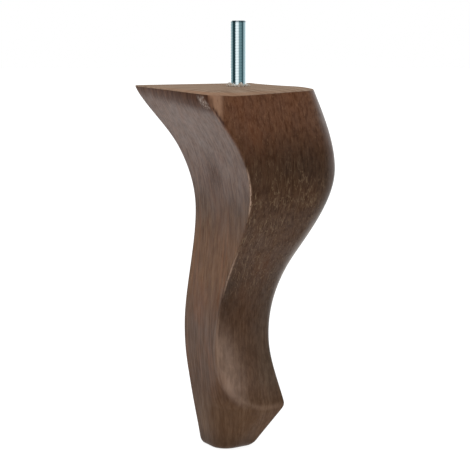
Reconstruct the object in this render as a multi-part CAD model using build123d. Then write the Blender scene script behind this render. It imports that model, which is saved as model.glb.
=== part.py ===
from build123d import *
import os

# Cabriole furniture leg: one piece of wood, sawn to the same S profile from two neighbouring sides,
# rounded by hand at the knee and the foot, with a hanger bolt screwed into its mounting face.
# Millimetres. x = y = 0 is the bolt's axis and the blank's middle, z = 0 is the foot's underside.
# The knee and the toe point along the diagonal +X +Y, and the leg is symmetric about that diagonal.

# Blank
BLANK_SIDE = 78.6  # square blank: the ear touches its back faces, the knee its front faces
LEG_HEIGHT = 188.3  # foot to mounting face

# Front profile, from the mounting face down to the toe
TOP_SETBACK = 9.5  # mounting face behind the knee
TOP_SLOPE = -0.3  # profile's reach per height at the mounting face
KNEE_DROP = 41.0  # mounting face down to the fullest part of the knee
SHIN_HOLLOW = 2.4  # shin behind the straight line from knee to ankle, half way down
SHIN_SLOPE = 0.51
ANKLE_FRONT = 12.5  # axis to the front of the ankle
ANKLE_HEIGHT = 57.8
TOE_REACH = 18.0  # axis to the toe's edge
TOE_HEIGHT = 23.3
TOE_SLOPE = -0.2

# Back profile, from the ear down to the heel
EAR_SLOPE = -0.38
HOLLOW_REACH = 16.5  # axis to the hollow behind the knee
HOLLOW_DROP = 63.4  # mounting face down to that hollow
NECK_HOLLOW = 5.4  # neck inside the straight line from ear to hollow, half way down
NECK_SLOPE = -0.385
CALF_REACH = 20.9  # axis to the back of the calf
CALF_HEIGHT = 63.4
HEEL_REACH = 15.0  # axis to the back of the foot, at the floor
HEEL_SLOPE = -0.11

# Ridges between the sawn faces
KNEE_ROUND_TOP = 10.6  # rounding of the knee's ridge at the mounting face
KNEE_ROUND = 14.5  # the same at the knee
KNEE_ROUND_DROP = 38.0  # mounting face down to the fullest rounding
RIDGE_ROUND = 1.4  # the same where the ridge runs out at the toe
SIDE_ROUND = 0.7
BACK_ROUND = 1.2
FLAT_START = 8.0  # ear's tip to the flats planed under its two upper edges
FLAT_DEPTH = 3.5  # depth of those flats at their far ends, the side corners

# Foot below the toe
FOOT_FRONT = 6.2  # axis to the front of the foot, at the floor
FOOT_ROUND = 10.6  # rounding of the foot's sides at the floor
TOE_ROUND = 26.0  # rounding of the foot's sides at the toe
FORM_RISE = 35.0  # rounded foot runs up to here, above the toe
FORM_ROUND = 21.0  # rounding of the foot's sides there
FORM_MARGIN = 0.8  # foot's rounding outside the sawn back faces
FLOOR_EDGE = 3.4  # rounding of the underside's edge
FLOOR_CORNER = 0.6  # underside's front and back corners, rounder than that edge by this much

# Hanger bolt
BOLT_DIAMETER = 7.94
STUD_LENGTH = 32.8  # free end above the mounting face
STUD_CHAMFER = 0.8
SCREW_DIAMETER = 7.0  # screwed end, across the middle of its thread
SCREW_LENGTH = 32.0
SCREW_TIP = 6.0  # its pointed tip
PILOT_CLEARANCE = 0.1  # pilot hole round the screwed end
PILOT_SPARE = 0.6  # pilot hole past the tip
MOUTH_CLEARANCE = 0.15  # broken mouth of the pilot hole round the stud
MOUTH_DEPTH = 0.6

SECTIONS = 24  # sections through the sawn blank


def curve_at(stations, height):
    """Reach of a profile at a height: cubic spans between stations of height, reach and slope."""
    spans = zip(stations, stations[1:])
    for (low, start, rise), (high, end, fall) in spans:
        if height <= high:
            break
    span = high - low
    t = (height - low) / span
    reach = (1 + 2 * t) * (1 - t) ** 2 * start
    reach += t**2 * (3 - 2 * t) * end
    return reach + span * t * (1 - t) * ((1 - t) * rise - t * fall)


def half_way(low, high, offset, slope):
    """Station half way between two others, set off from their straight line."""
    return ((low[0] + high[0]) / 2, (low[1] + high[1]) / 2 + offset, slope)


def front_profile():
    toe = (TOE_HEIGHT, TOE_REACH, TOE_SLOPE)
    floor = (0, TOE_REACH - TOE_SLOPE * TOE_HEIGHT, TOE_SLOPE)
    ankle = (ANKLE_HEIGHT, ANKLE_FRONT, 0)
    knee = (LEG_HEIGHT - KNEE_DROP, BLANK_SIDE / 2, 0)
    top = (LEG_HEIGHT, BLANK_SIDE / 2 - TOP_SETBACK, TOP_SLOPE)
    return [floor, toe, ankle, half_way(ankle, knee, -SHIN_HOLLOW, SHIN_SLOPE), knee, top]


def back_profile():
    heel = (0, -HEEL_REACH, HEEL_SLOPE)
    calf = (CALF_HEIGHT, -CALF_REACH, 0)
    hollow = (LEG_HEIGHT - HOLLOW_DROP, -HOLLOW_REACH, 0)
    ear = (LEG_HEIGHT, -BLANK_SIDE / 2, EAR_SLOPE)
    return [heel, calf, hollow, half_way(hollow, ear, NECK_HOLLOW, NECK_SLOPE), ear]


def knee_rounding():
    floor = (0, RIDGE_ROUND, 0)
    toe = (TOE_HEIGHT, RIDGE_ROUND, 0)
    knee = (LEG_HEIGHT - KNEE_ROUND_DROP, KNEE_ROUND, 0)
    top = (LEG_HEIGHT, KNEE_ROUND_TOP, 0)
    return [floor, toe, knee, top]


def rounded_square(height, back, front, back_round, side_round, front_round):
    """Square section from back to front on both axes, with a rounding for each corner."""
    corners = (
        (back + back_round, back + back_round, back_round, 180),
        (front - side_round, back + side_round, side_round, 270),
        (front - front_round, front - front_round, front_round, 0),
        (back + side_round, front - side_round, side_round, 90),
    )
    arcs = [CenterArc((x, y), radius, start, 90) for x, y, radius, start in corners]
    sides = [Line(arc @ 1, following @ 0) for arc, following in zip(arcs, arcs[1:] + arcs[:1])]
    return Pos(0, 0, height) * make_face(arcs + sides)


def sawn_blank():
    """Blank sawn to the profile from both sides, with its ridges rounded."""
    front, back, rounding = front_profile(), back_profile(), knee_rounding()
    sections = []
    for step in range(SECTIONS + 1):
        height = LEG_HEIGHT * step / SECTIONS
        section = rounded_square(
            height,
            curve_at(back, height),
            curve_at(front, height),
            BACK_ROUND,
            SIDE_ROUND,
            curve_at(rounding, height),
        )
        sections.append(section)
    return loft(sections)


def foot_form():
    """Rounded foot: it narrows from above the toe to the floor, and leaves the toe's edge."""
    back = back_profile()
    undercut = (TOE_REACH - FOOT_FRONT) / TOE_HEIGHT
    form_height = TOE_HEIGHT + FORM_RISE
    levels = (
        (0, FOOT_ROUND, FLOOR_EDGE + FLOOR_CORNER),
        (TOE_HEIGHT, TOE_ROUND, RIDGE_ROUND),
        (TOE_HEIGHT + FORM_RISE / 2, (TOE_ROUND + FORM_ROUND) / 2, RIDGE_ROUND),
        (form_height, FORM_ROUND, RIDGE_ROUND),
    )
    sections = []
    for height, side_round, end_round in levels:
        behind = curve_at(back, height) - FORM_MARGIN
        before = FOOT_FRONT + undercut * height
        sections.append(rounded_square(height, behind, before, end_round, side_round, end_round))
    foot = loft(sections, ruled=True)
    foot = fillet(foot.faces().sort_by(Axis.Z)[0].edges(), FLOOR_EDGE)
    upper = Pos(0, 0, form_height) * Box(
        2 * BLANK_SIDE, 2 * BLANK_SIDE, LEG_HEIGHT, align=(Align.CENTER, Align.CENTER, Align.MIN)
    )
    return foot + upper


def ear_flat(sideways):
    """Everything outside the flat planed under one upper edge of the ear."""
    start, end = FLAT_START - BLANK_SIDE / 2, BLANK_SIDE / 2 - TOP_SETBACK
    outward = Vector(FLAT_DEPTH, start - end, 0)
    origin = Vector(start, -BLANK_SIDE / 2, LEG_HEIGHT)
    if sideways:
        outward, origin = Vector(outward.Y, outward.X, 0), Vector(origin.Y, origin.X, LEG_HEIGHT)
    waste = Box(4 * BLANK_SIDE, 4 * BLANK_SIDE, BLANK_SIDE, align=(Align.CENTER, Align.CENTER, Align.MIN))
    return Plane(origin=origin, z_dir=outward) * waste


def turned(points):
    """Solid of revolution about the bolt's axis, from points of radius and height."""
    outline = Polyline(*[(radius, 0, height) for radius, height in points], close=True)
    return revolve(make_face(outline), Axis.Z)


def screw_outline(clearance, spare):
    """Screwed end from its tip to the mounting face, grown by a clearance."""
    radius = SCREW_DIAMETER / 2 + clearance
    tip = LEG_HEIGHT - SCREW_LENGTH - spare
    return [(0, tip), (radius, tip + SCREW_TIP), (radius, LEG_HEIGHT)]


def hanger_bolt():
    radius = BOLT_DIAMETER / 2
    end = LEG_HEIGHT + STUD_LENGTH
    stud = [(radius, LEG_HEIGHT), (radius, end - STUD_CHAMFER), (radius - STUD_CHAMFER, end), (0, end)]
    return turned(screw_outline(0, 0) + stud)


def wooden_leg():
    leg = sawn_blank() & foot_form()
    for sideways in (False, True):
        leg -= ear_flat(sideways)
    leg -= turned(screw_outline(PILOT_CLEARANCE, PILOT_SPARE) + [(0, LEG_HEIGHT)])
    mouth = BOLT_DIAMETER / 2 + MOUTH_CLEARANCE
    return leg - turned([(0, LEG_HEIGHT - MOUTH_DEPTH), (mouth, LEG_HEIGHT), (0, LEG_HEIGHT)])


os.makedirs("parts", exist_ok=True)
export_step(wooden_leg(), "parts/wooden_leg.step")
export_step(hanger_bolt(), "parts/hanger_bolt.step")
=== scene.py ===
import bpy
import numpy as np
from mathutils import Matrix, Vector, noise


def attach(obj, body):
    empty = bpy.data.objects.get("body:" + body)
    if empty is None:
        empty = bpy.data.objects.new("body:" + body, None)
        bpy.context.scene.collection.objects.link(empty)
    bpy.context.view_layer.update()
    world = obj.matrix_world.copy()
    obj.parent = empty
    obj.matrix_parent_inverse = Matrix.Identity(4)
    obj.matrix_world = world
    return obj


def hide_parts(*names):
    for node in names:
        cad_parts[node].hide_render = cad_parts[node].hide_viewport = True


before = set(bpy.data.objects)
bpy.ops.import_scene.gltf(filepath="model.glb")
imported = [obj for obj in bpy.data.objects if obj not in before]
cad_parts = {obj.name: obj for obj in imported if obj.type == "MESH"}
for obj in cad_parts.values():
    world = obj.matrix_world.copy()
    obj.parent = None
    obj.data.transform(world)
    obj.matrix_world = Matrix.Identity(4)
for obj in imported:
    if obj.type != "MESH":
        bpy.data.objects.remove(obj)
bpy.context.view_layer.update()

# Cabriole furniture leg with a hanger bolt. Lengths are in millimetres, and MM turns them into metres.
MM = 0.001

# Wood, with the part's sizes
BLANK_SIDE = 78.6  # square blank
LEG_HEIGHT = 188.3  # foot to mounting face
TOP_SETBACK = 9.5  # mounting face behind the knee
TOP_SLOPE = -0.3
KNEE_DROP = 41.0  # mounting face down to the fullest part of the knee
SHIN_HOLLOW = 2.4  # shin behind the straight line from knee to ankle
SHIN_SLOPE = 0.51
ANKLE_FRONT = 12.5  # axis to the front of the ankle
ANKLE_HEIGHT = 57.8
TOE_REACH = 18.0  # axis to the toe's edge
TOE_HEIGHT = 23.3
TOE_SLOPE = -0.2
EAR_SLOPE = -0.38
HOLLOW_REACH = 16.5  # axis to the hollow behind the knee
HOLLOW_DROP = 63.4  # mounting face down to that hollow
NECK_HOLLOW = 5.4  # neck inside the straight line from ear to hollow
NECK_SLOPE = -0.385
CALF_REACH = 20.9  # axis to the back of the calf
CALF_HEIGHT = 63.4
HEEL_REACH = 15.0  # axis to the back of the foot, at the floor
HEEL_SLOPE = -0.11
KNEE_ROUND_TOP = 10.6  # rounding of the knee's ridge at the mounting face
KNEE_ROUND = 14.5  # the same at the knee
KNEE_ROUND_DROP = 38.0  # mounting face down to the fullest rounding
RIDGE_ROUND = 1.4  # the same where the ridge runs out at the toe
SIDE_ROUND = 0.7
BACK_ROUND = 1.2
FLAT_START = 8.0  # ear's tip to the flats planed under its two upper edges
FLAT_DEPTH = 3.5  # depth of those flats at their far ends
FOOT_FRONT = 6.2  # axis to the front of the foot, at the floor
FOOT_ROUND = 10.6  # rounding of the foot's sides at the floor
TOE_ROUND = 26.0  # the same at the toe
FORM_RISE = 35.0  # rounded foot runs up to here, above the toe
FORM_ROUND = 21.0  # rounding of the foot's sides there
FORM_MARGIN = 0.8  # foot's rounding outside the sawn back faces
FLOOR_EDGE = 3.4  # rounding of the underside's edge
FLOOR_CORNER = 0.6  # underside's front and back corners, rounder than that edge by this much
KNEE_DIRECTION = 45  # degrees from +X to +Y

# Hanger bolt, with the part's sizes
BOLT_RADIUS = 3.97
STUD_LENGTH = 32.8
STUD_CHAMFER = 0.8
SCREW_RADIUS = 3.5
SCREW_LENGTH = 32.0
SCREW_TIP = 6.0
PILOT_RADIUS = 3.6
PILOT_SPARE = 0.6  # pilot hole past the screw's tip
PILOT_END = 0.1  # radius that the pilot hole's point is closed from
MOUTH_RADIUS = 4.12  # broken mouth of the pilot hole
MOUTH_DEPTH = 0.08  # where the mouth's slope meets the hole

# Threads
STUD_PITCH = 1.411
STUD_THREAD = 0.2  # depth below the crest
SCREW_PITCH = 2.8
SCREW_THREAD = 0.7
CREST_SHARE = 0.5  # share of the pitch that the crest takes
FLANK_SHARE = 0.4  # and the two flanks

# Finish of the edges
CREASE_SOFT = 4.6  # blend between the scooped front and the rounded foot, at its widest
CREASE_LEAST = 0.7  # and away from there
CREASE_HEIGHT = 41.0
CREASE_LENGTH = 9.0
HEEL_SOFT = 2.2  # blend between the back faces and the rounded foot gains this much
HEEL_LEAST = 0.1
HEEL_LENGTH = 20.0  # over this much below the form's upper end
NECK_EASE = 0.7  # side ridges eased by this much more at the neck
NECK_EASE_HEIGHT = 163.0
NECK_EASE_LENGTH = 13.0
SCOOP_EASE = 2.6  # and beside the scoop above the toe
SCOOP_EASE_HEIGHT = 49.0
SCOOP_EASE_LENGTH = 16.0
FLAT_SOFT = 2.6  # blend between the flats and the sawn faces
TOP_EDGE = 0.7  # eased edge round the mounting face
NEAR_CORNER_WEAR = 2.6  # mounting face planed down by this much at its side corner towards -Y
FAR_CORNER_WEAR = 1.8  # and by this much at the other side corner
KNEE_WEAR = 1.0  # and by this much above the knee
NEAR_SHARE = 0.7  # share of the corner's wear that is left 10 degrees nearer to the ear
FAR_SHARE = 0.2  # the same past the other side corner
WEAR_ANGLES = (-180, -100, -90, 0, 90, 100, 180)  # where these are, in degrees from the knee
WEAR_WIDTH = 9.0  # how far in from the edge the wear reaches
WEAR_DEPTH = 16.0  # how far down the sides follow it
SANDING = 0.16  # depth of the unevenness that sanding leaves
SANDING_WIDTH = 17.0
SANDING_LENGTH = 34.0
SANDING_GAIN = 1.4
SANDING_FADE = 8.0  # none at the two ends, all of it this far from them

# Points of the meshes
CORNER_COLUMNS = 38  # directions on each side of a corner
EDGE_ROWS = 12  # rings round the floor's edge
CLOSE_BELOW = 8.0  # close rings start this far below the toe
CLOSE_ABOVE = 3.0  # and end this far above the rounded foot
RING_SPANS = (  # height where a span of rings ends, and rings counted with both ends
    (TOE_HEIGHT - CLOSE_BELOW, 14),
    (TOE_HEIGHT + FORM_RISE + CLOSE_ABOVE, 130),
    (LEG_HEIGHT - WEAR_DEPTH, 100),
    (LEG_HEIGHT - TOP_EDGE, 36),
)
TOP_EDGE_ROWS = len(range(EDGE_ROWS)[2::2])  # rings round the top edge, fewer than at the floor
RIM_STEPS = (0.15, 0.5, 1.2, 2.5, 4.5, 7, WEAR_WIDTH)  # rings of the mounting face, in from its edge
RIM_EDGE_ROWS = 3  # the first of them, which count as its edge
FACE_STEPS = (0.3, 0.6, 0.85, 1)  # and from there to the pilot hole's mouth, as shares of the way
HALVINGS = 44  # steps that find a point of the surface
BOLT_COLUMNS = 72
SCREW_ROWS = 150
STUD_ROWS = 330

# Torn fibres round the bolt: number, and ranges in millimetres
FIBRES = 34
FIBRE_SEED = 11
FIBRE_JITTER = 0.4  # in steps round the bolt
FIBRE_WIDTH = (0.6, 1.4)
FIBRE_FOOT = (4.2, 4.9)  # from the bolt's axis
FIBRE_LEAN = (0.5, 1.4)
FIBRE_SWAY = (-2, 2)  # in widths
FIBRE_RISE = (0.8, 2.6)
FIBRE_THICKNESS = 1.3
FIBRE_SINK = 0.05

# Marks on the sides, painted shade and highlights among them: limits and the softness of each, or middle and
# width, in millimetres
FRONT_WIDTH = 2.0  # a side counts as front within this much of a front face
RUBBED_BANDS = ((129, 149, 6, 1.0), (87, 106, 8, 0.6), (46, 74, 12, 0.3))  # heights, softness, strength
RUBBED_RIDGE = (0, 0.55)
TOE_LINE_HEIGHT = (21, 29, 3)
TOE_LINE = (0, 0.8)
FACET_SIDE = (-28.2, 2.6)  # facet of the near corner, bare and painted lighter for the light it catches: limit on the y axis at the mounting face
FACET_SLANT = 0.2  # that limit moves out by this much for each millimetre down
FACET_FRONT = (1.2, 0.9)
FACET_DROP = (15.5, 2)
SCRAPED_SIDE = (17.0, 22.5, 2)
SCRAPED_SLANT = 0.8
SCRAPED_DROP = (3.0, 8.6, 1.6)
SCRAPED_CORNER = (-32, 1)
CUT_RIDGE = (0.4, 0.8)
CUT_DROP = (3, 17, 3)
CUT_CORNER = (-20, 2)
FLAT_LIMIT = (-2.25, 2.5)  # painted shade on the flats under the ear: on their distance less the sawn faces'
FLAT_LEAST = 0.55  # strength half a blank behind the middle
FLAT_GAIN = 0.7  # and what it gains up to half a blank before it
FLAT_DROP = (18, 8)
SCOOP_TOP = 79.0  # painted highlight of the scoop starts here and is full below
SCOOP_FULL = 28.0
SCOOP_FLOOR = (29, 14)
SCOOP_FRONT = (2.8, 4)
SCOOP_BASE = 0.1  # strength all over the scoop
SCOOP_STRIPE = 0.58  # strength that its stripe of painted highlight adds
SCOOP_MIDDLE = -14.0  # middle of that stripe, on the lesser of x and y
SCOOP_WIDTH = 7.5
SCOOP_LEAN = 0.35  # stripe nears the ridge by this much for each millimetre above its bend
SCOOP_BEND = 48.0
SCOOP_BEND_LENGTH = 20.0
SCOOP_LOW = 0.1  # strength that the scoop gains from here down
SCOOP_LOW_TOP = 50.0
SCOOP_LOW_LENGTH = 15.0
SCOOP_RIM_SHARE = 0.56  # strength of its rim of painted highlight
SCOOP_RIM = (0, 1.0)
SCOOP_RIM_LIMIT = (4, 1)
SCOOP_RIM_SIDE = (-5, 6)
SCOOP_RIM_HEIGHT = (35, 66, 12)
CALF_SHADE = (0, 7)  # painted shade on the front beside the calf's ridge
CALF_SHADE_HEIGHT = (74, 98, 14)
# painted shade across the knee
KNEE_SHADE = 0.7
KNEE_SHADE_HEIGHT = (154, 13)
KNEE_SHADE_SIDE = (11, 19)
BESIDE_SHARE = 0.6
BESIDE_FRONT = (3.4, 2.4)  # painted shade on the back faces beside the ankle's ridge
BESIDE_BACK = (0.8, 1)
BESIDE_HEIGHT = (56, 86, 16)
NECK_ACROSS = (0.535, 0.845)  # level direction across the near face of the neck
NECK_BACK = (1.5, 1)
NECK_SIDE = (0, 4)
NECK_SHADE_SHARE = 0.78
NECK_SHADE = (-12.5, 5)  # painted shade in the hollow of the neck
NECK_SHADE_HEIGHT = (146, 14)
NECK_SHADE_SLANT = 0.1
NECK_POLISH_SHARE = 0.17
NECK_POLISH = (-6.8, 5)  # polished stripe above it: more gloss, and a painted sheen
NECK_POLISH_HEIGHT = (143, 176, 10)
NECK_POLISH_MIDDLE = 147.0
NECK_POLISH_SLANT = 0.8
EAR_SHADE_SHARE = 0.3
EAR_SHADE = (0, 4.5)  # painted shade on the back faces along the ear's edge
EAR_SHADE_HEIGHT = (140, 20)
POLISHED_RIDGE = (0, 11)  # polished knee ridge, on x less y: more gloss, and a painted sheen
POLISHED_FRONT = (0, 4)
POLISHED_HEIGHT = (30, 181, 14)
POLISHED_BREAK = (158, 11)
SCRATCHED_BACK = (0.5, 7, 2)
SCRATCHED_HEIGHT = (136, 164, 6)
WARM_EDGE_SPAN = 50.0  # warmer edge of the mounting face grows towards its side corners
WARM_EDGE_START = 0.15

# Colours of the wood
STAIN_DARK = (0.054, 0.0222, 0.0094, 1)
STAIN_BROWN = (0.095, 0.0455, 0.022, 1)
STAIN_RED = (0.118, 0.045, 0.0195, 1)
STAIN_PALE = (0.19, 0.118, 0.066, 1)
SHADE_LOW = (0.70, 0.64, 0.58, 1)
SHADE_HIGH = (1.34, 1.42, 1.52, 1)
# bare wood of the facet, painted lighter for the light its turned face catches
BARE_AND_LIT_FACET = (0.40, 0.215, 0.13, 1)
BARE_SCRAPE = (0.36, 0.28, 0.235, 1)
BARE_RIDGE = (0.6, 0.4, 0.29, 1)
CUT_DARK = (0.035, 0.011, 0.007, 1)
# darker towards the floor
FLOOR_DARK = (0.03, 0.016, 0.008, 1)
# painted highlight: grey haze added over the scoop
SCOOP_PAINTED_HIGHLIGHT = (0.085, 0.075, 0.068, 1)
FOOT_TINT = (1.24, 1.38, 1.5, 1)
FOOT_CLOUD = (1.3, 1.4, 1.5, 1)
END_DARK = (0.275, 0.183, 0.127, 1)
END_PALE = (0.455, 0.335, 0.25, 1)
END_PORE = (0.2, 0.12, 0.08, 1)
END_EDGE = (0.42, 0.235, 0.145, 1)
GREY = (0.5, 0.5, 0.5, 1)
# tints of the marks: flat, beside and under are painted shade, scoop a painted highlight, ridge a painted
# sheen
PAINTED_LIGHT_TINTS = {
    "flat": (0.74, 0.66, 0.62, 1),
    "beside": (0.74, 0.68, 0.64, 1),
    "under": (0.68, 0.72, 0.76, 1),
    "ridge": (0.86, 1.0, 1.06, 1),
    "scoop": (2.5, 2.95, 3.7, 1),
}
TO_THE_TOP = (300, 310)  # heights above the leg, for a tint that doesn't fade
FRONT_TINTS = (  # heights where a tint starts, is full, starts to fade and ends
    ((85, 110, 135, 155), (1.16, 1.15, 1.08, 1)),
    ((145, 180) + TO_THE_TOP, (2.3, 1.95, 1.75, 1)),
)
BACK_TINTS = (
    ((25, 55, 70, 100), (1.16, 1.14, 1.08, 1)),
    ((125, 145) + TO_THE_TOP, (1.25, 1.1, 1.0, 1)),
    ((60, 100, 106, 138), (1.9, 1.9, 1.75, 1)),
)

# Noise in the wood: scale across and along the leg for each metre, detail and roughness
STREAK = (1100, 40, 4.0, 0.6)
FRONT_STREAK = (1100, 48, 4.0, 0.6)
FINE = (2300, 150, 2.0, 0.5)
VEIN = (520, 12, 2.0, 0.5)
HAIR = (400, 105, 2.0, 0.5)
HAIR_PATCH = (75, 60, 2.0, 0.5)
BLOTCH = (60, 26, 3.0, 0.5)
MOTTLE = (190, 80, 3.0, 0.6)
SPOT = (600, 220, 3.0, 0.6)
BACK_SPOT = (640, 100, 3.0, 0.6)
FLECK = (1600, 180, 3.0, 0.6)
SCRAPE = (2600, 420, 1.0, 0.4)
FOOT_CLOUD_SCALE = (7, 1, 16)  # round the leg and up it
RING_SCALE = (520, 1.2, 1)  # out from the pith and round the leg
PORE_SCALE = (900, 2200, 900)
PITH = (130, -85)  # middle of the growth rings, outside the leg

# Finish of the wood: limits of a noise, and heights, where each layer starts and is full, and its share
PLAIN_NOISE = (2.0, 0.5)  # detail and roughness
RING_NOISE = (3.0, 0.6)
FACING_BLEND = 0.2  # streaks of neighbouring faces blend over this part of the normal
FRONT_STREAK_SHARE = 0.7
CALM_FRONT = (75, 40)  # streaks are calmer on the lower front
CALM_FOOT = (45, 30)  # and at the foot
CALM_SHARE = 0.6
STREAK_LIMITS = (0.3, 0.7)
BLOTCH_LIMITS = (0.5, 0.72)
BLOTCH_HEIGHTS = (20, 70)
BLOTCH_SHARE = 0.45
MOTTLE_LIMITS = (0.42, 0.64)
MOTTLE_SHARE = 0.45
FINE_LIMITS = (0.45, 0.25)
FINE_SHARE = 0.35
SPOT_LIMITS = (0.45, 0.56)
SPOT_HEIGHTS = (60, 100)
SPOT_SHARE = 0.6
UNEVEN_LIMITS = (0.38, 0.62)
UNEVEN_HEIGHTS = (70, 130)
UNEVEN_SHARE = (0.38, 0.45)  # what it gains up the leg, and what it starts from
UNEVEN_FRONT = (0.42, 0.56)  # the same from the back to the front
VEIN_LIMITS = (0.52, 0.68)
VEIN_HEIGHTS = (20, 50, 110, 150)
VEIN_SHARE = 0.45
FLECK_LIMITS = (0.57, 0.70)
FLECK_HEIGHTS = (55, 110)
FLECK_FRONT = (-1.2, 1)  # on the strength of the front's mark
FLECK_FADE = (165, 140)
FLECK_SHARE = (0.18, 0.3)  # what it gains down from the top, and what it starts from
FOOT_HEIGHTS = (34, 22)
FOOT_CLOUD_LIMITS = (0.45, 0.65)
FOOT_CLOUD_HEIGHTS = (60, 35)
FOOT_CLOUD_SHARE = 0.5
HAIR_LIMITS = (0.02, 0.004)
HAIR_PATCH_LIMITS = (0.4, 0.54)
HAIR_HEIGHTS = (75, 95, 136, 166)
HAIR_UPPER = (105, 125)
HAIR_SHARE = (0.35, 0.55)  # what it gains up the leg, and what it starts from
FACET_LIMITS = (0.1, 0.5)
SCRAPE_LIMITS = (0.45, 0.62)
RUBBED_LIMITS = (0.3, 0.52)
FLOOR_DARK_HEIGHTS = (12, 1)
FLOOR_DARK_SHARE = 0.45
RING_LIMITS = (0.3, 0.7)
PORE_LIMITS = (0.5, 0.7)
PORE_SHARE = 0.35
WARM_EDGE_SHARE = 0.7
GLOSS_HEIGHTS = (30, 135)
GLOSS = (0.2, 0.99)  # strength of the reflections at those heights
GLOSS_LOSS = {"front": 1.9, "flat": 1.7, "beside": 1.5}  # strength of a mark that would leave none
STREAK_GLOSS = (-0.6, 0.9)
UNEVEN_GLOSS = (-0.35, 0.95)
MOTTLE_GLOSS = (-0.4, 0.95)
SCOOP_GLOSS = 0.4
RIDGE_GLOSS = 1.8
WOOD_ROUGHNESS = 0.42
BUMP = 0.25
BUMP_DEPTH = 0.2

# Zinc plate
ZINC_BLUE = (0.76, 0.89, 0.92, 1)
ZINC_PALE = (0.84, 0.95, 0.98, 1)
# painted shade in the thread's grooves
GROOVE_PAINTED_SHADE = (0.16, 0.2, 0.22, 1)
GROOVE_SHADE_SHARE = 0.2
ZINC_CLOUD = (600, 600, 600)
ZINC_ROUGHNESS = 0.09
CHAMFER_SHADE = 4.0  # painted shade: chamfered end takes this many times a groove's share
PLATE_OUTWARD = (200, 200, 0)  # plate reflects as a smooth cylinder
PLATE_UPWARD = (0, 0, 0.05)
PLATE_THREAD = (0.02, 0.02, 0.02)  # with a little of the thread's own slope

# Raw fibres
FIBRE_DARK = (0.62, 0.47, 0.34, 1)
FIBRE_PALE = (0.95, 0.91, 0.84, 1)
FIBRE_SPECK = (900, 900, 900)
FIBRE_LIMITS = (0.35, 0.65)
FIBRE_ROUGHNESS = 0.8

# Studio: brightness round the horizon by direction, in degrees right of the camera's side
STUDIO_RING = (
    (-180, 1.0),
    (-150, 0.5),
    (-109, 0.4),
    (-95, 0.05),
    (-52, 0.04),
    (-42, 1.0),
    (-6, 1.0),
    (8, 0.26),
    (42, 0.24),
    (50, 0.08),
    (68, 0.08),
    (80, 0.45),
    (112, 0.6),
    (126, 1.2),
    (180, 1.2),
)
STUDIO_RED = 1.3  # powers of the brightness, which make the dim parts cooler
STUDIO_BLUE = 0.95
STUDIO_TOP = (0.85, 0.85, 0.85, 1)
STUDIO_TOP_START = (0.2, 0.6)  # upward part of a direction where that light starts and is full

# Floor: it lights the leg from a pool round it, from behind it and from the left
FLOOR_RADIUS = 6000.0
FLOOR_SIDES = 96
FLOOR_GREY = (0.3, 0.3, 0.3, 1)
FLOOR_ROUGHNESS = 0.9
FLOOR_LIGHT = (0.1, 0.9)  # strength outside and inside the lit parts
POOL_EDGE = (600, 300)  # distances where a lit part ends and is full
POOL_RIGHT = (210, 140)
LEFT_START = (140, 300)
LEFT_EDGE = (900, 500)
LEFT_SHARE = 0.75
BEHIND_EDGE = (0.7, 0.9)  # cosines of the angle from straight behind
FLOOR_TURN = 0.2  # right and left limits lean to the camera by this much
WHITE = (1, 1, 1, 1)

# Camera, in the part's frame
EYE = (583.0, -371.3, 219.9)
LOOK_AT = (-1.32, -1.32, 111.92)
LENS = 104.03
SENSOR = 36.0
CLIP_NEAR = 10.0
CLIP_FAR = 50000.0


def curve_at(stations, height):
    """Reach of a profile at an array of heights: cubic spans between stations of height, reach, slope."""
    reach = np.zeros_like(height)
    for (low, start, rise), (high, end, fall) in zip(stations, stations[1:]):
        t = (height - low) / (high - low)
        span = (1 + 2 * t) * (1 - t) ** 2 * start + t**2 * (3 - 2 * t) * end
        span += (high - low) * t * (1 - t) * ((1 - t) * rise - t * fall)
        reach = np.where(height >= low, span, reach)
    return reach


def half_way(low, high, offset, slope):
    """Station half way between two others, set off from their straight line."""
    return ((low[0] + high[0]) / 2, (low[1] + high[1]) / 2 + offset, slope)


def front_profile():
    floor = (0, TOE_REACH - TOE_SLOPE * TOE_HEIGHT, TOE_SLOPE)
    toe = (TOE_HEIGHT, TOE_REACH, TOE_SLOPE)
    ankle = (ANKLE_HEIGHT, ANKLE_FRONT, 0)
    knee = (LEG_HEIGHT - KNEE_DROP, BLANK_SIDE / 2, 0)
    top = (LEG_HEIGHT, BLANK_SIDE / 2 - TOP_SETBACK, TOP_SLOPE)
    return [floor, toe, ankle, half_way(ankle, knee, -SHIN_HOLLOW, SHIN_SLOPE), knee, top]


def back_profile():
    heel = (0, -HEEL_REACH, HEEL_SLOPE)
    calf = (CALF_HEIGHT, -CALF_REACH, 0)
    hollow = (LEG_HEIGHT - HOLLOW_DROP, -HOLLOW_REACH, 0)
    ear = (LEG_HEIGHT, -BLANK_SIDE / 2, EAR_SLOPE)
    return [heel, calf, hollow, half_way(hollow, ear, NECK_HOLLOW, NECK_SLOPE), ear]


def knee_rounding():
    floor = (0, RIDGE_ROUND, 0)
    toe = (TOE_HEIGHT, RIDGE_ROUND, 0)
    knee = (LEG_HEIGHT - KNEE_ROUND_DROP, KNEE_ROUND, 0)
    top = (LEG_HEIGHT, KNEE_ROUND_TOP, 0)
    return [floor, toe, knee, top]


FRONT = front_profile()
BACK = back_profile()
KNEE = knee_rounding()
FORM_HEIGHT = TOE_HEIGHT + FORM_RISE
FORM_LEVELS = np.array([0, TOE_HEIGHT, TOE_HEIGHT + FORM_RISE / 2, FORM_HEIGHT])
NOT_FOOT = -99.0  # distance outside the rounded foot above its form


def bell(value, middle, width):
    """One at the middle, falling to nothing a few widths away."""
    return np.exp(-(((value - middle) / width) ** 2))


def past(value, limit, soft):
    """One past a limit, zero short of it."""
    return np.clip((value - limit) / soft + 0.5, 0, 1)


def short_of(value, limit, soft):
    """One short of a limit, zero past it."""
    return np.clip((limit - value) / soft + 0.5, 0, 1)


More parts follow.
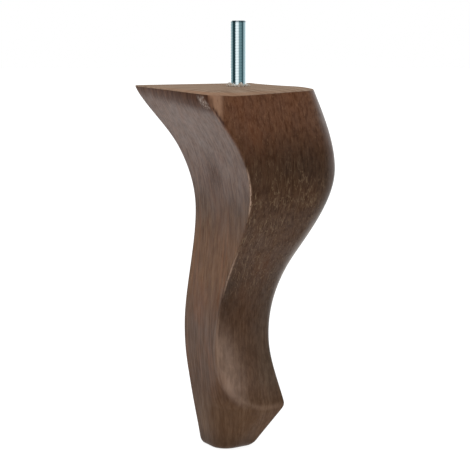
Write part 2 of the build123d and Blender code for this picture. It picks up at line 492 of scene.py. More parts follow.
def within(value, low, high, soft):
    """One between two limits, falling to zero outside them."""
    return past(value, low, soft) * short_of(value, high, soft)


def soft_max(a, b, width):
    """Greater of two distances, blended where they differ by less than a width."""
    return np.maximum(a, b) + np.clip(width - np.abs(a - b), 0, None) ** 2 / (4 * width)


def rounded_square(x, y, low, high, back_round, side_round, front_round):
    """Distance outside a square section with rounded corners, less than zero inside."""
    outside = np.maximum(np.maximum(low - x, x - high), np.maximum(low - y, y - high))
    corners = ((-1, -1, back_round), (1, -1, side_round), (1, 1, front_round), (-1, 1, side_round))
    for turn_x, turn_y, radius in corners:
        across = turn_x * x - (high if turn_x > 0 else -low) + radius
        along = turn_y * y - (high if turn_y > 0 else -low) + radius
        corner = np.hypot(across, along) - radius
        outside = np.where((across > 0) & (along > 0), np.maximum(outside, corner), outside)
    return outside


def edge_inset(depth, radius):
    """How far a rounded edge lies inside the face beside it, at a depth below its end."""
    left = np.clip(radius - depth, 0, radius)
    return radius - np.sqrt(radius**2 - left**2)


def form_sizes(z):
    """Back, front, side rounding and end rounding of the rounded foot at a height."""
    behind = np.interp(z, FORM_LEVELS, curve_at(BACK, FORM_LEVELS) - FORM_MARGIN)
    before = FOOT_FRONT + (TOE_REACH - FOOT_FRONT) / TOE_HEIGHT * z
    side = np.interp(z, [0, TOE_HEIGHT, FORM_HEIGHT], [FOOT_ROUND, TOE_ROUND, FORM_ROUND])
    end = np.interp(z, [0, TOE_HEIGHT], [FLOOR_EDGE + FLOOR_CORNER, RIDGE_ROUND])
    return behind, before, side, end


def flats_outside(x, y):
    """Distance outside the flats planed under the ear's two upper edges."""
    start = FLAT_START - BLANK_SIDE / 2
    end = BLANK_SIDE / 2 - TOP_SETBACK
    length = np.hypot(FLAT_DEPTH, end - start)
    near = (FLAT_DEPTH * (x - start) - (end - start) * (y + BLANK_SIDE / 2)) / length
    far = (FLAT_DEPTH * (y - start) - (end - start) * (x + BLANK_SIDE / 2)) / length
    return np.maximum(near, far)


def sawn_outside(x, y, z):
    """Distance outside the sawn blank, with its side ridges eased at the neck and beside the scoop."""
    side = SIDE_ROUND + NECK_EASE * bell(z, NECK_EASE_HEIGHT, NECK_EASE_LENGTH)
    side += SCOOP_EASE * bell(z, SCOOP_EASE_HEIGHT, SCOOP_EASE_LENGTH)
    return rounded_square(x, y, curve_at(BACK, z), curve_at(FRONT, z), BACK_ROUND, side, curve_at(KNEE, z))


def foot_outside(x, y, z):
    """Distance outside the rounded foot."""
    behind, before, side, end = form_sizes(z)
    form = rounded_square(x, y, behind, before, end, side, end) + edge_inset(z, FLOOR_EDGE)
    return np.where(z < FORM_HEIGHT, form, NOT_FOOT)


def wood_outside(x, y, z, top):
    """Distance outside the leg's side surface, with the height of its upper end."""
    form = foot_outside(x, y, z)
    crease = CREASE_LEAST + (CREASE_SOFT - CREASE_LEAST) * bell(z, CREASE_HEIGHT, CREASE_LENGTH)
    scooped = soft_max(np.maximum(x, y) - curve_at(FRONT, z), form, crease)
    heel = HEEL_LEAST + HEEL_SOFT * np.clip((FORM_HEIGHT - z) / HEEL_LENGTH, 0, 1)
    side_faces = soft_max(sawn_outside(x, y, z), form, heel)
    side_faces = np.maximum(side_faces, scooped)
    side_faces = soft_max(side_faces, flats_outside(x, y), FLAT_SOFT)
    return side_faces + edge_inset(top - z, TOP_EDGE)


def top_wear(angles):
    """How far the mounting face is planed down at its edge, from nothing at the ear."""
    from_knee = (np.degrees(angles) - KNEE_DIRECTION + 180) % 360 - 180
    near = [0, NEAR_CORNER_WEAR * NEAR_SHARE, NEAR_CORNER_WEAR]
    far = [FAR_CORNER_WEAR, FAR_CORNER_WEAR * FAR_SHARE, 0]
    return np.interp(from_knee, WEAR_ANGLES, near + [KNEE_WEAR] + far)


def add_mesh(name, points, faces, material, attributes=None):
    """Smooth mesh from points in millimetres, with named values at its points."""
    mesh = bpy.data.meshes.new(name)
    mesh.from_pydata((np.asarray(points) * MM).tolist(), [], faces)
    mesh.polygons.foreach_set("use_smooth", [True] * len(mesh.polygons))
    for key, values in (attributes or {}).items():
        layer = mesh.attributes.new(key, "FLOAT", "POINT")
        layer.data.foreach_set("value", np.asarray(values, dtype=np.float32))
    mesh.materials.append(material)
    mesh.update()
    piece = bpy.data.objects.new(name, mesh)
    bpy.context.scene.collection.objects.link(piece)
    return piece


def grid_faces(rows, columns):
    """Quads between rings of points, counted ring by ring."""
    faces = []
    for row in range(rows - 1):
        start, end = row * columns, (row + 1) * columns
        for column in range(columns):
            following = (column + 1) % columns
            faces.append((start + column, start + following, end + following, end + column))
    return faces


def closed_rings(rings):
    """Points and faces of a closed skin over rings of points, with a fan at each end."""
    columns = len(rings[0])
    points = np.concatenate(rings + [rings[0].mean(0, keepdims=True), rings[-1].mean(0, keepdims=True)])
    faces = grid_faces(len(rings), columns)
    bottom, top = len(points) - 2, len(points) - 1
    last = (len(rings) - 1) * columns
    for column in range(columns):
        following = (column + 1) % columns
        faces.append((bottom, following, column))
        faces.append((top, last + column, last + following))
    return points, faces


def wood_angles():
    """Directions round the section, crowded at its four corners."""
    away = 45 * (np.arange(CORNER_COLUMNS) / CORNER_COLUMNS) ** 2
    degrees = []
    for corner in (45, 135, 225, 315):
        degrees.append(corner - away[::-1][:-1])
        degrees.append(corner + away)
        degrees.append([corner + 45])
    return np.radians(np.concatenate(degrees))


def wood_heights():
    """Heights of the rings up the sides, crowded at the rounded ends and at the scoop."""
    turn = np.linspace(0, np.pi / 2, EDGE_ROWS)
    rows = [FLOOR_EDGE * (1 - np.cos(turn))]
    start = FLOOR_EDGE
    for end, count in RING_SPANS:
        rows.append(np.linspace(start, end, count)[1:])
        start = end
    rows.append(LEG_HEIGHT - TOP_EDGE * (1 - np.sin(turn[2::2])))
    return np.concatenate(rows)


def sanding(points):
    """Shallow unevenness that hand sanding leaves, in millimetres, from 0 to SANDING."""
    found = []
    for x, y, z in points:
        found.append(noise.noise(Vector((x / SANDING_WIDTH, y / SANDING_WIDTH, z / SANDING_LENGTH))))
    return SANDING * (0.5 + 0.5 * np.clip(np.array(found) * SANDING_GAIN, -1, 1))


def side_points(angles, heights, worn):
    """Points of the leg's sides, ring by ring, each found by halving its reach from the ring's middle."""
    behind, before, _, _ = form_sizes(heights)
    low = np.maximum(curve_at(BACK, heights), behind)
    high = curve_at(FRONT, heights)
    high = np.where(heights < FORM_HEIGHT, np.minimum(high, before), high)
    middle = ((low + high) / 2)[:, None]
    z = heights[:, None] - worn * np.clip(1 - (LEG_HEIGHT - heights) / WEAR_DEPTH, 0, 1)[:, None]
    across, along = np.cos(angles), np.sin(angles)
    near, far = np.zeros_like(z), np.full_like(z, BLANK_SIDE)
    for _ in range(HALVINGS):
        reach = (near + far) / 2
        outside = wood_outside(middle + reach * across, middle + reach * along, z, LEG_HEIGHT - worn) > 0
        far = np.where(outside, reach, far)
        near = np.where(outside, near, reach)
    points = np.stack([middle + near * across, middle + near * along, z], axis=-1)
    uneven = sanding(points.reshape(-1, 3)).reshape(z.shape)
    uneven *= np.clip((LEG_HEIGHT - z) / SANDING_FADE, 0, 1) * np.clip(z / SANDING_FADE, 0, 1)
    points[..., 0] -= uneven * across
    points[..., 1] -= uneven * along
    return points


def mounting_rings(rim, worn):
    """Rings of points in from the top edge, across the mounting face and down the pilot hole."""
    axis = np.array([0, 0, LEG_HEIGHT])
    level = rim * (1, 1, 0) + axis
    outward = (level - axis) / np.linalg.norm(level - axis, axis=1, keepdims=True)
    rings = []
    for inward in RIM_STEPS:
        drop = worn * (1 - inward / WEAR_WIDTH) ** 2
        rings.append(level - outward * inward - drop[:, None] * (0, 0, 1))
    inner = rings[-1]
    for share in FACE_STEPS:
        rings.append(inner * (1 - share) + (axis + outward * MOUTH_RADIUS) * share)
    pilot = (
        (PILOT_RADIUS, MOUTH_DEPTH),
        (PILOT_RADIUS, SCREW_LENGTH - SCREW_TIP),
        (PILOT_END, SCREW_LENGTH + PILOT_SPARE),
    )
    for radius, depth in pilot:
        rings.append(axis + outward * radius - np.array([0, 0, depth]))
    return rings


class Sides:
    """Points of the leg's sides, with how far each lies in from the faces beside it."""

    def __init__(self, points):
        self.x, self.y, self.z = points[..., 0], points[..., 1], points[..., 2]
        self.down = LEG_HEIGHT - self.z
        self.lesser = np.minimum(self.x, self.y)
        self.greater = np.maximum(self.x, self.y)
        self.flats = flats_outside(self.x, self.y)
        self.back_reach = curve_at(BACK, self.z)
        self.to_front = curve_at(FRONT, self.z) - self.greater
        self.to_back = np.minimum(self.lesser - self.back_reach, -self.flats)
        self.to_ridge = np.maximum(self.to_front, self.to_back)
        self.to_foot = np.abs(foot_outside(self.x, self.y, self.z))
        self.front = np.clip(1 - self.to_front / FRONT_WIDTH, 0, 1)
        across_x, across_y = NECK_ACROSS
        self.across = across_x * self.x + across_y * self.y
        self.neck = short_of(self.to_back, *NECK_BACK) * short_of(self.y - self.x, *NECK_SIDE)


def rubbed_mark(s):
    """Ridges beside the front faces, and the line under the toe's edge, where the stain is rubbed off."""
    bands = sum(strength * within(s.z, low, high, soft) for low, high, soft, strength in RUBBED_BANDS)
    ridges = bands * bell(s.to_ridge, *RUBBED_RIDGE)
    toe_line = bell(np.abs(s.to_front) + s.to_foot, *TOE_LINE) * within(s.z, *TOE_LINE_HEIGHT)
    return np.maximum(ridges, toe_line)


def facet_bare_and_lit_mark(s):
    """Facet at the front corner of the mounting face: bare wood, painted lighter still for the light its
    turned face catches.
    """
    limit, soft = FACET_SIDE
    side = short_of(s.y, limit - FACET_SLANT * s.down, soft)
    return side * short_of(s.to_front, *FACET_FRONT) * short_of(s.down, *FACET_DROP)


def scraped_mark(s):
    """Scraped spot beside that facet."""
    side = within(s.x - SCRAPED_SLANT * s.down, *SCRAPED_SIDE)
    return side * within(s.down, *SCRAPED_DROP) * short_of(s.y, *SCRAPED_CORNER)


def cut_mark(s):
    """Dark cut along the ridge between the facet and the scraped spot."""
    return bell(s.to_ridge, *CUT_RIDGE) * within(s.down, *CUT_DROP) * short_of(s.y, *CUT_CORNER)


def flat_painted_shade_mark(s):
    """Painted shade on the flats under the ear's upper edges, darkest at the side corners."""
    flat = past(s.flats - sawn_outside(s.x, s.y, s.z), *FLAT_LIMIT) * short_of(s.down, *FLAT_DROP)
    return flat * (FLAT_LEAST + FLAT_GAIN * np.clip(0.5 + s.greater / BLANK_SIDE, 0, 1))


def scoop_highlight_mark(s):
    """Painted highlight in the hollow of the scooped front above the toe, with a stripe and a rim that are
    paler.
    """
    rise = np.clip((SCOOP_TOP - s.z) / SCOOP_FULL, 0, 1)
    stripe = SCOOP_MIDDLE - SCOOP_LEAN * np.clip(s.z - SCOOP_BEND, 0, SCOOP_BEND_LENGTH)
    scoop = SCOOP_BASE + SCOOP_LOW * np.clip((SCOOP_LOW_TOP - s.z) / SCOOP_LOW_LENGTH, 0, 1)
    scoop += SCOOP_STRIPE * bell(s.lesser, stripe, SCOOP_WIDTH)
    scoop *= short_of(s.to_front, *SCOOP_FRONT) * past(s.z, *SCOOP_FLOOR)
    scoop *= rise**2 * (3 - 2 * rise)
    foot_rim = bell(np.abs(s.to_front) - s.to_foot, *SCOOP_RIM) * short_of(s.to_foot, *SCOOP_RIM_LIMIT)
    back_rim = bell(s.to_front - s.to_back, *SCOOP_RIM) * short_of(s.to_back, *SCOOP_RIM_LIMIT)
    rim = np.maximum(foot_rim, back_rim) * within(s.z, *SCOOP_RIM_HEIGHT)
    return np.maximum(scoop, SCOOP_RIM_SHARE * rim * short_of(s.lesser, *SCOOP_RIM_SIDE))


def under_painted_shade_mark(s):
    """Painted shade on the front beside the calf's ridge and across the knee."""
    calf = bell(s.to_back, *CALF_SHADE) * within(s.z, *CALF_SHADE_HEIGHT)
    knee = KNEE_SHADE * bell(s.z, *KNEE_SHADE_HEIGHT) * bell(s.y, *KNEE_SHADE_SIDE)
    return np.maximum(calf, knee) * s.front


def beside_painted_shade_mark(s):
    """Painted shade on the back faces beside the ankle's ridge, in the neck's hollow and along the ear's
    edge.
    """
    ankle = BESIDE_SHARE * bell(s.to_front, *BESIDE_FRONT) * short_of(s.to_back, *BESIDE_BACK)
    ankle *= within(s.z, *BESIDE_HEIGHT)
    slant = NECK_SHADE_SLANT * (s.z - NECK_SHADE_HEIGHT[0])
    hollow = NECK_SHADE_SHARE * bell(s.across + slant, *NECK_SHADE)
    hollow *= bell(s.z, *NECK_SHADE_HEIGHT) * s.neck
    ear = EAR_SHADE_SHARE * bell(s.greater - s.back_reach, *EAR_SHADE) * past(s.z, *EAR_SHADE_HEIGHT)
    return np.maximum(np.maximum(ankle, hollow), ear)


def ridge_gloss_and_sheen_mark(s):
    """Polished ridge of the knee and a polished stripe on the neck: more gloss, and a cooler tint that
    paints their sheen.
    """
    knee = bell(s.x - s.y, *POLISHED_RIDGE) * past(s.x + s.y, *POLISHED_FRONT)
    knee *= (1 - bell(s.z, *POLISHED_BREAK)) * within(s.z, *POLISHED_HEIGHT)
    slant = NECK_POLISH_SLANT * (s.z - NECK_POLISH_MIDDLE)
    neck = NECK_POLISH_SHARE * bell(s.across + slant, *NECK_POLISH)
    neck *= within(s.z, *NECK_POLISH_HEIGHT) * s.neck
    return np.maximum(knee, neck)


def scratch_mark(s):
    """Front beside the knee's side ridge, where the scratches are strongest."""
    return within(s.to_back, *SCRATCHED_BACK) * s.front * within(s.z, *SCRATCHED_HEIGHT)


def wood_marks(points):
    """Strength of each mark at the points of the sides, and which of them are on the front."""
    s = Sides(points)
    # flat, beside and under carry painted shade, scoop a painted highlight, ridge a painted sheen, facet
    # partly painted light
    return {
        "rubbed": rubbed_mark(s),
        "facet": facet_bare_and_lit_mark(s),
        "scraped": scraped_mark(s),
        "front": s.front,
        "scoop": scoop_highlight_mark(s),
        "flat": flat_painted_shade_mark(s),
        "cut": cut_mark(s),
        "beside": beside_painted_shade_mark(s),
        "ridge": ridge_gloss_and_sheen_mark(s),
        "under": under_painted_shade_mark(s),
        "scratch": scratch_mark(s),
    }


def wooden_leg(material):
    angles = wood_angles()
    heights = wood_heights()
    worn = top_wear(angles)
    sides = side_points(angles, heights, worn)
    points, faces = closed_rings(list(sides) + mounting_rings(sides[-1], worn))
    count = len(heights) * len(angles)
    values = {}
    for key, mark in wood_marks(sides).items():
        values[key] = np.zeros(len(points))
        values[key][:count] = mark.reshape(-1)
    edge_start = count - TOP_EDGE_ROWS * len(angles)
    edge_end = count + RIM_EDGE_ROWS * len(angles)
    values["end_grain"] = np.zeros(len(points))
    values["end_grain"][edge_start:-2] = 1
    to_diagonal = np.abs(points[:, 0] - points[:, 1])
    values["edge"] = np.clip(to_diagonal / WARM_EDGE_SPAN - WARM_EDGE_START, 0, 1)
    values["edge"][:edge_start] = 0
    values["edge"][edge_end:] = 0
    return add_mesh("wooden_leg_skin", points, faces, material, values)


def thread_depth(turns, depth):
    """Depth of a thread below its crest at a number of turns: flat crest, straight flanks, flat root."""
    along = np.abs(turns % 1 - 0.5) * 2
    return depth * np.clip((along - CREST_SHARE) / FLANK_SHARE, 0, 1)


def hanger_bolt(material):
    angles = np.arange(BOLT_COLUMNS) / BOLT_COLUMNS * 2 * np.pi
    turns = angles / (2 * np.pi)
    screw = np.linspace(LEG_HEIGHT - SCREW_LENGTH, LEG_HEIGHT, SCREW_ROWS)[1:]
    stud = np.linspace(LEG_HEIGHT, LEG_HEIGHT + STUD_LENGTH, STUD_ROWS)[1:]
    rings, groove_shades = [], []
    for height in np.concatenate([screw, stud]):
        above = height - LEG_HEIGHT
        if above < 0:
            full = min(SCREW_RADIUS, SCREW_RADIUS * (above + SCREW_LENGTH) / SCREW_TIP)
            cut = thread_depth(height / SCREW_PITCH - turns, min(SCREW_THREAD, full / 2))
            radius = full - cut
        else:
            full = min(BOLT_RADIUS, BOLT_RADIUS + STUD_LENGTH - above - STUD_CHAMFER)
            cut = thread_depth(height / STUD_PITCH - turns, STUD_THREAD)
            radius = np.minimum(full, BOLT_RADIUS - cut)
        level = np.full(BOLT_COLUMNS, height)
        rings.append(np.stack([radius * np.cos(angles), radius * np.sin(angles), level], axis=-1))
        # painted shade: grooves by their depth, the chamfered end darker still
        chamfer = CHAMFER_SHADE * (above > STUD_LENGTH - STUD_CHAMFER)
        groove_shades.append(np.maximum(cut / cut.max(), chamfer))
    points, faces = closed_rings(rings)
    groove_shade = np.concatenate(groove_shades + [[0, 0]])
    return add_mesh("hanger_bolt_thread", points, faces, material, {"groove_shade": groove_shade})


def torn_fibres(material):
    """Slivers of wood pushed up round the hanger bolt."""
    chance = np.random.default_rng(FIBRE_SEED)
    up = np.array([0, 0, 1])
    points, faces = [], []
    for step in range(FIBRES):
        turn = 2 * np.pi * (step + chance.uniform(-FIBRE_JITTER, FIBRE_JITTER)) / FIBRES
        out = np.array([np.cos(turn), np.sin(turn), 0])
        side = np.array([-out[1], out[0], 0]) * chance.uniform(*FIBRE_WIDTH)
        foot = out * chance.uniform(*FIBRE_FOOT) + up * (LEG_HEIGHT - FIBRE_SINK)
        tip = foot + out * chance.uniform(*FIBRE_LEAN)
        tip = tip + side * chance.uniform(*FIBRE_SWAY)
        tip = tip + up * chance.uniform(*FIBRE_RISE)
        first = len(points)
        points += [foot + side, foot - side, foot + out * FIBRE_THICKNESS, tip]
        for a, b, c in ((0, 1, 2), (0, 3, 1), (1, 3, 2), (2, 3, 0)):
            faces.append((first + a, first + b, first + c))
    return add_mesh("torn_fibres", points, faces, material)


class Nodes:
    """Short way to add and link the nodes of a tree."""

    def __init__(self, tree):
        self.tree = tree
        self.tree.nodes.clear()

    def add(self, kind, settings=None, **inputs):
        node = self.tree.nodes.new(kind)
        for key, value in (settings or {}).items():
            setattr(node, key, value)
        for key, value in inputs.items():
            self.put(node.inputs[key.replace("_", " ")], value)
        return node

    def put(self, socket, value):
        if isinstance(value, bpy.types.NodeSocket):
            self.tree.links.new(value, socket)
        else:
            socket.default_value = value

    def put_all(self, node, values):
        """Fill a node's first inputs."""
        for socket, value in zip(node.inputs, values):
            self.put(socket, value)
        return node

    def mix(self, factor, first, second, blend="MIX"):
        node = self.add("ShaderNodeMix", {"data_type": "RGBA", "blend_type": blend})
        self.put(node.inputs[0], factor)
        self.put(node.inputs[6], first)
        self.put(node.inputs[7], second)
        return node.outputs[2]

    def tint(self, colour, factor, tint):
        """Colour multiplied by a tint, as far as a factor says."""
        return self.mix(factor, colour, tint, "MULTIPLY")

    def ramp(self, factor, low, high):
        """Smooth rise from zero at low to one at high."""
        node = self.add("ShaderNodeMapRange", {"interpolation_type": "SMOOTHSTEP"})
        return self.put_all(node, (factor, low, high)).outputs[0]

    def stretch(self, value, low, high, start, end, clamp=True):
        """Straight line from start at low to end at high."""
        node = self.add("ShaderNodeMapRange", {"clamp": clamp})
        return self.put_all(node, (value, low, high, start, end)).outputs[0]

    def noise(self, scale, detail, roughness, place=None):
        """Noise with a scale for each axis, in the object's metres unless a place is given."""
        place = place or self.add("ShaderNodeTexCoord").outputs["Object"]
        mapping = self.add("ShaderNodeMapping", {}, Vector=place, Scale=scale).outputs[0]
        texture = self.add(
            "ShaderNodeTexNoise", {}, Vector=mapping, Scale=1.0, Detail=detail, Roughness=roughness
        )
        return texture.outputs[0]

    def math(self, operation, *values):
        return self.put_all(self.add("ShaderNodeMath", {"operation": operation}), values).outputs[0]

    def times(self, product, *factors):
        """Product of two or more values."""
        for factor in factors:
            product = self.math("MULTIPLY", product, factor)
        return product

    def line(self, value, slope, start):
        """Value times a slope, added to a start."""
        return self.math("ADD", self.math("MULTIPLY", value, slope), start)

    def vector(self, operation, *values):
        return self.put_all(self.add("ShaderNodeVectorMath", {"operation": operation}), values)

    def dot(self, vector, along):
        return self.vector("DOT_PRODUCT", vector, along).outputs["Value"]

    def attribute(self, name):
        return self.add("ShaderNodeAttribute", {"attribute_name": name}).outputs["Fac"]

    def finish(self, shader, kind="ShaderNodeOutputMaterial"):
        self.tree.links.new(shader.outputs[0], self.add(kind).inputs[0])


class WoodNodes(Nodes):
    """Nodes of the wood, with the places and the noise that its whole finish depends on."""

    def __init__(self, tree):
        super().__init__(tree)
        self.place = self.add("ShaderNodeTexCoord").outputs["Object"]
        x, y, self.height = [self.dot(self.place, axis) for axis in ((1, 0, 0), (0, 1, 0), (0, 0, 1))]
        self.turn = self.math("ARCTAN2", y, x)
        normal = self.add("ShaderNodeNewGeometry").outputs["Normal"]
        turned_x = self.math("ABSOLUTE", self.dot(normal, (1, 0, 0)))
        turned_y = self.math("ABSOLUTE", self.dot(normal, (0, 1, 0)))
        self.facing_x = self.ramp(self.math("SUBTRACT", turned_x, turned_y), -FACING_BLEND, FACING_BLEND)
        self.front = self.attribute("front")
        self.back = self.ramp(self.front, 1, 0)
        self.fleck = self.speckle(*FLECK)
        self.mottle = self.speckle(*MOTTLE)
        self.spot = self.speckle(*SPOT)
        self.uneven = self.mix(self.front, self.speckle(*BACK_SPOT), self.spot)
        front_share = self.times(self.front, FRONT_STREAK_SHARE)
        streak = self.mix(front_share, self.grain(*STREAK), self.speckle(*FRONT_STREAK))
        calm = self.math("MAXIMUM", self.times(self.rise(*CALM_FRONT), self.front), self.rise(*CALM_FOOT))
        self.streak = self.mix(self.times(calm, CALM_SHARE), streak, GREY)

    def rise(self, low, high):
        """Zero at a height and one at another, in millimetres."""
        return self.ramp(self.height, low * MM, high * MM)

    def band(self, start, full, fading, end):
        """One between two heights in millimetres, zero below start and above end."""
        return self.times(self.rise(start, full), self.rise(end, fading))

    def speckle(self, across, along, detail, roughness):
        """Noise drawn out along the leg."""
        return self.noise((across, across, along), detail, roughness)

    def grain(self, across, along, detail, roughness):
        """Streaks along the leg, straight on each face."""
        on_y = self.noise((across, 0, along), detail, roughness)
        on_x = self.noise((0, across, along), detail, roughness)
        return self.mix(self.facing_x, on_y, on_x)


def new_material(name, kind=Nodes):
    material = bpy.data.materials.new(name)
    material.use_nodes = True
    return material, kind(material.node_tree)


def stain_colour(n):
    """Brown stain with streaks, blotches, dark spots, red veins and pale flecks."""
    colour = n.mix(n.ramp(n.streak, *STREAK_LIMITS), STAIN_DARK, STAIN_BROWN)
    blotches = n.times(n.ramp(n.speckle(*BLOTCH), *BLOTCH_LIMITS), n.rise(*BLOTCH_HEIGHTS))
    colour = n.mix(n.times(blotches, BLOTCH_SHARE), colour, STAIN_RED)
    colour = n.mix(n.times(n.ramp(n.mottle, *MOTTLE_LIMITS), MOTTLE_SHARE), colour, STAIN_DARK)
    colour = n.mix(n.times(n.ramp(n.grain(*FINE), *FINE_LIMITS), FINE_SHARE), colour, STAIN_DARK)
    spots = n.times(n.ramp(n.spot, *SPOT_LIMITS), n.front, n.rise(*SPOT_HEIGHTS))
    colour = n.mix(n.times(spots, SPOT_SHARE), colour, STAIN_DARK)
    shade = n.mix(n.ramp(n.uneven, *UNEVEN_LIMITS), SHADE_LOW, SHADE_HIGH)
    share = n.times(n.line(n.rise(*UNEVEN_HEIGHTS), *UNEVEN_SHARE), n.line(n.front, *UNEVEN_FRONT))
    colour = n.tint(colour, share, shade)
    veins = n.times(n.ramp(n.grain(*VEIN), *VEIN_LIMITS), n.back, n.band(*VEIN_HEIGHTS))
    colour = n.mix(n.times(veins, VEIN_SHARE), colour, STAIN_RED)
    flecks = n.times(n.ramp(n.fleck, *FLECK_LIMITS), n.ramp(n.front, *FLECK_FRONT), n.rise(*FLECK_HEIGHTS))
    flecks = n.times(flecks, n.line(n.rise(*FLECK_FADE), *FLECK_SHARE))
    return n.mix(flecks, colour, STAIN_PALE)


def toned(n, colour):
    """Stain made lighter or darker by its marks (painted shade, highlights and sheen), at the foot and by
    height on each face.
    """
    for mark, tint in PAINTED_LIGHT_TINTS.items():
        colour = n.tint(colour, n.attribute(mark), tint)
    # painted highlight on the scoop
    colour = n.mix(n.attribute("scoop"), colour, SCOOP_PAINTED_HIGHLIGHT, "ADD")
    colour = n.tint(colour, n.rise(*FOOT_HEIGHTS), FOOT_TINT)
    round_leg = n.add("ShaderNodeCombineXYZ", {}, X=n.turn, Z=n.height).outputs[0]
    cloud = n.noise(FOOT_CLOUD_SCALE, *PLAIN_NOISE, round_leg)
    cloud = n.times(n.ramp(cloud, *FOOT_CLOUD_LIMITS), n.rise(*FOOT_CLOUD_HEIGHTS))
    colour = n.tint(colour, n.times(cloud, FOOT_CLOUD_SHARE), FOOT_CLOUD)
    for faces, tints in ((n.front, FRONT_TINTS), (n.back, BACK_TINTS)):
        for heights, tint in tints:
            colour = n.tint(colour, n.times(n.band(*heights), faces), tint)
    return colour


def wear_and_painted_light(n, colour):
    """Hair scratches, bare spots and ridges, the facet's painted light, the dark cut, and darker towards the
    floor.
    """
    ripple = n.math("ABSOLUTE", n.math("SUBTRACT", n.grain(*HAIR), 0.5))
    hair = n.times(n.ramp(ripple, *HAIR_LIMITS), n.ramp(n.speckle(*HAIR_PATCH), *HAIR_PATCH_LIMITS))
    strength = n.math("ADD", n.attribute("scratch"), n.line(n.rise(*HAIR_UPPER), *HAIR_SHARE))
    hair = n.times(hair, n.band(*HAIR_HEIGHTS), strength, n.front)
    colour = n.mix(hair, colour, STAIN_PALE)
    # facet: bare wood with painted light
    facet = n.times(n.attribute("facet"), n.ramp(n.streak, *FACET_LIMITS))
    colour = n.mix(facet, colour, BARE_AND_LIT_FACET)
    scraped = n.times(n.attribute("scraped"), n.ramp(n.speckle(*SCRAPE), *SCRAPE_LIMITS))
    colour = n.mix(scraped, colour, BARE_SCRAPE)
    rubbed = n.times(n.attribute("rubbed"), n.ramp(n.fleck, *RUBBED_LIMITS))
    colour = n.mix(rubbed, colour, BARE_RIDGE)
    colour = n.mix(n.attribute("cut"), colour, CUT_DARK)
    return n.mix(n.times(n.rise(*FLOOR_DARK_HEIGHTS), FLOOR_DARK_SHARE), colour, FLOOR_DARK)


def end_grain_colour(n):
    """Bare end grain of the mounting face: growth rings, pores and a warmer edge."""
    pith = (PITH[0] * MM, PITH[1] * MM, LEG_HEIGHT * MM)
    out = n.vector("DISTANCE", n.place, pith).outputs["Value"]
    round_pith = n.add("ShaderNodeCombineXYZ", {}, X=out, Y=n.turn).outputs[0]
    rings = n.noise(RING_SCALE, *RING_NOISE, round_pith)
    pores = n.noise(PORE_SCALE, *PLAIN_NOISE)
    colour = n.mix(n.ramp(rings, *RING_LIMITS), END_DARK, END_PALE)
    colour = n.mix(n.times(n.ramp(pores, *PORE_LIMITS), PORE_SHARE), colour, END_PORE)
    return n.mix(n.times(n.attribute("edge"), WARM_EDGE_SHARE), colour, END_EDGE)


def wood_gloss(n):
    """Strength of the reflections: more up the leg and on polished ridges, none on the end grain."""
    low, high = GLOSS_HEIGHTS
    gloss = n.stretch(n.height, low * MM, high * MM, *GLOSS)
    for mark, limit in GLOSS_LOSS.items():
        gloss = n.times(gloss, n.ramp(n.attribute(mark), limit, 0))
    gloss = n.math("ADD", gloss, n.times(n.attribute("scoop"), SCOOP_GLOSS))
    for grain, limits in ((n.streak, STREAK_GLOSS), (n.uneven, UNEVEN_GLOSS), (n.mottle, MOTTLE_GLOSS)):
        gloss = n.times(gloss, n.ramp(grain, *limits))
    gloss = n.times(gloss, n.line(n.attribute("ridge"), RIDGE_GLOSS, 1.0))
    return n.times(gloss, n.line(n.attribute("end_grain"), -1.0, 1.0))


def wood_material():
    material, n = new_material("stained_beech", WoodNodes)
    colour = wear_and_painted_light(n, toned(n, stain_colour(n)))
    colour = n.mix(n.attribute("end_grain"), colour, end_grain_colour(n))
    bump = n.add("ShaderNodeBump", {}, Strength=BUMP, Distance=BUMP_DEPTH * MM, Height=n.streak)
    shader = n.add("ShaderNodeBsdfPrincipled", {}, Base_Color=colour, Roughness=WOOD_ROUGHNESS)
    n.put(shader.inputs["Normal"], bump.outputs[0])
    n.put(shader.inputs["Specular IOR Level"], wood_gloss(n))
    n.finish(shader)
    return material


def steel_material():
    material, n = new_material("zinc_plate")
    place = n.add("ShaderNodeTexCoord").outputs["Object"]
    normal = n.add("ShaderNodeNewGeometry").outputs["Normal"]
    outward = n.vector("MULTIPLY_ADD", place, PLATE_OUTWARD, PLATE_UPWARD).outputs[0]
    plate = n.vector("MULTIPLY_ADD", normal, PLATE_THREAD, outward).outputs[0]
    plate = n.vector("NORMALIZE", plate).outputs[0]
    zinc = n.mix(n.noise(ZINC_CLOUD, *PLAIN_NOISE), ZINC_BLUE, ZINC_PALE)
    # painted shade in the grooves and at the chamfered end
    colour = n.mix(n.times(n.attribute("groove_shade"), GROOVE_SHADE_SHARE), zinc, GROOVE_PAINTED_SHADE)
    shader = n.add("ShaderNodeBsdfPrincipled", {}, Base_Color=colour, Metallic=1.0, Roughness=ZINC_ROUGHNESS)
    n.put(shader.inputs["Normal"], plate)
    n.finish(shader)
    return material


def fibre_material():
    material, n = new_material("raw_fibre")
    speck = n.noise(FIBRE_SPECK, *PLAIN_NOISE)
    colour = n.mix(n.ramp(speck, *FIBRE_LIMITS), FIBRE_DARK, FIBRE_PALE)
    n.finish(n.add("ShaderNodeBsdfPrincipled", {}, Base_Color=colour, Roughness=FIBRE_ROUGHNESS))
    return material


def toward_camera():
    """Level direction from the leg to the camera, and the camera's right."""
    toward = Vector((EYE[0] - LOOK_AT[0], EYE[1] - LOOK_AT[1], 0)).normalized()
    return toward, Vector((-toward.y, toward.x, 0))


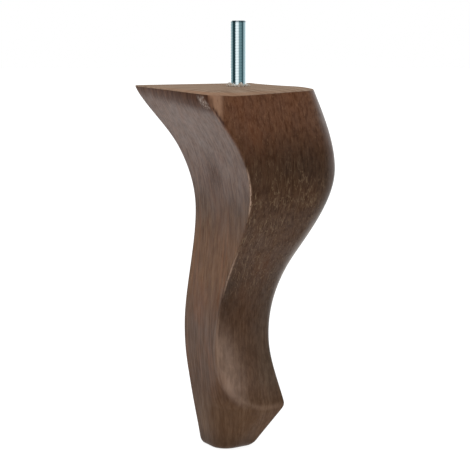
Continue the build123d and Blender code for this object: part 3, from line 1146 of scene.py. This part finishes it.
def floor_material():
    """Pale floor, plain white to the camera, and bright round the leg, behind it and on its left."""
    material, n = new_material("white_floor")
    place = n.add("ShaderNodeTexCoord").outputs["Object"]
    length = n.vector("LENGTH", place).outputs["Value"]
    toward, right = toward_camera()

    def reach(value, limits):
        return n.ramp(value, limits[0] * MM, limits[1] * MM)

    pool_side = n.dot(place, right + FLOOR_TURN * toward)
    left_side = n.dot(place, FLOOR_TURN * toward - right)
    pool = n.times(reach(length, POOL_EDGE), reach(pool_side, POOL_RIGHT))
    left = n.times(reach(left_side, LEFT_START), reach(length, LEFT_EDGE))
    behind = n.ramp(n.math("DIVIDE", n.dot(place, -toward), length), *BEHIND_EDGE)
    bright = n.math("ADD", n.math("MAXIMUM", pool, behind), n.times(left, LEFT_SHARE))
    bright = n.math("MAXIMUM", bright, n.add("ShaderNodeLightPath").outputs["Is Camera Ray"])
    strength = n.stretch(bright, 0, 1, *FLOOR_LIGHT, clamp=False)
    shader = n.add("ShaderNodeBsdfPrincipled", {}, Base_Color=FLOOR_GREY, Roughness=FLOOR_ROUGHNESS)
    n.put(shader.inputs["Emission Color"], WHITE)
    n.put(shader.inputs["Emission Strength"], strength)
    n.finish(shader)
    return material


def add_floor():
    turn = np.arange(FLOOR_SIDES) / FLOOR_SIDES * 2 * np.pi
    rim = FLOOR_RADIUS * np.stack([np.cos(turn), np.sin(turn), 0 * turn], axis=-1)
    floor = add_mesh("floor", rim, [list(range(FLOOR_SIDES))], floor_material())


def add_world():
    """Studio seen from the leg: lamps and dark gaps round the horizon, a soft light above."""
    world = bpy.data.worlds.new("studio")
    world.use_nodes = True
    n = Nodes(world.node_tree)
    direction = n.add("ShaderNodeTexCoord").outputs["Generated"]
    toward, right = toward_camera()
    turn = n.math("ARCTAN2", n.dot(direction, right), n.dot(direction, toward))
    ring = n.add("ShaderNodeValToRGB", {}, Fac=n.stretch(turn, -np.pi, np.pi, 0, 1))
    stops = ring.color_ramp.elements
    for _ in STUDIO_RING[2:]:
        stops.new(0.5)
    for stop, (degrees, level) in zip(stops, STUDIO_RING):
        stop.position = degrees / 360 + 0.5
        stop.color = (level**STUDIO_RED, level, level**STUDIO_BLUE, 1)
    height = n.dot(direction, (0, 0, 1))
    light = n.mix(n.ramp(height, *STUDIO_TOP_START), ring.outputs[0], STUDIO_TOP)
    light = n.mix(n.add("ShaderNodeLightPath").outputs["Is Camera Ray"], light, WHITE)
    n.finish(n.add("ShaderNodeBackground", {}, Color=light, Strength=1.0), "ShaderNodeOutputWorld")
    bpy.context.scene.world = world


def add_camera():
    data = bpy.data.cameras.new("camera")
    data.sensor_width = SENSOR
    data.lens = LENS
    data.clip_start = CLIP_NEAR * MM
    data.clip_end = CLIP_FAR * MM
    data.dof.use_dof = False
    camera = bpy.data.objects.new("camera", data)
    bpy.context.scene.collection.objects.link(camera)
    eye = Vector(EYE) * MM
    camera.location = eye
    camera.rotation_euler = (Vector(LOOK_AT) * MM - eye).to_track_quat("-Z", "Y").to_euler()
    bpy.context.scene.camera = camera


leg = wooden_leg(wood_material())
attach(leg, "root")
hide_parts("wooden_leg")
bolt = hanger_bolt(steel_material())
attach(bolt, "root")
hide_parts("hanger_bolt")
fibres = torn_fibres(fibre_material())
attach(fibres, "root")
add_floor()
add_world()
add_camera()
bpy.context.scene.view_settings.view_transform = "Standard"
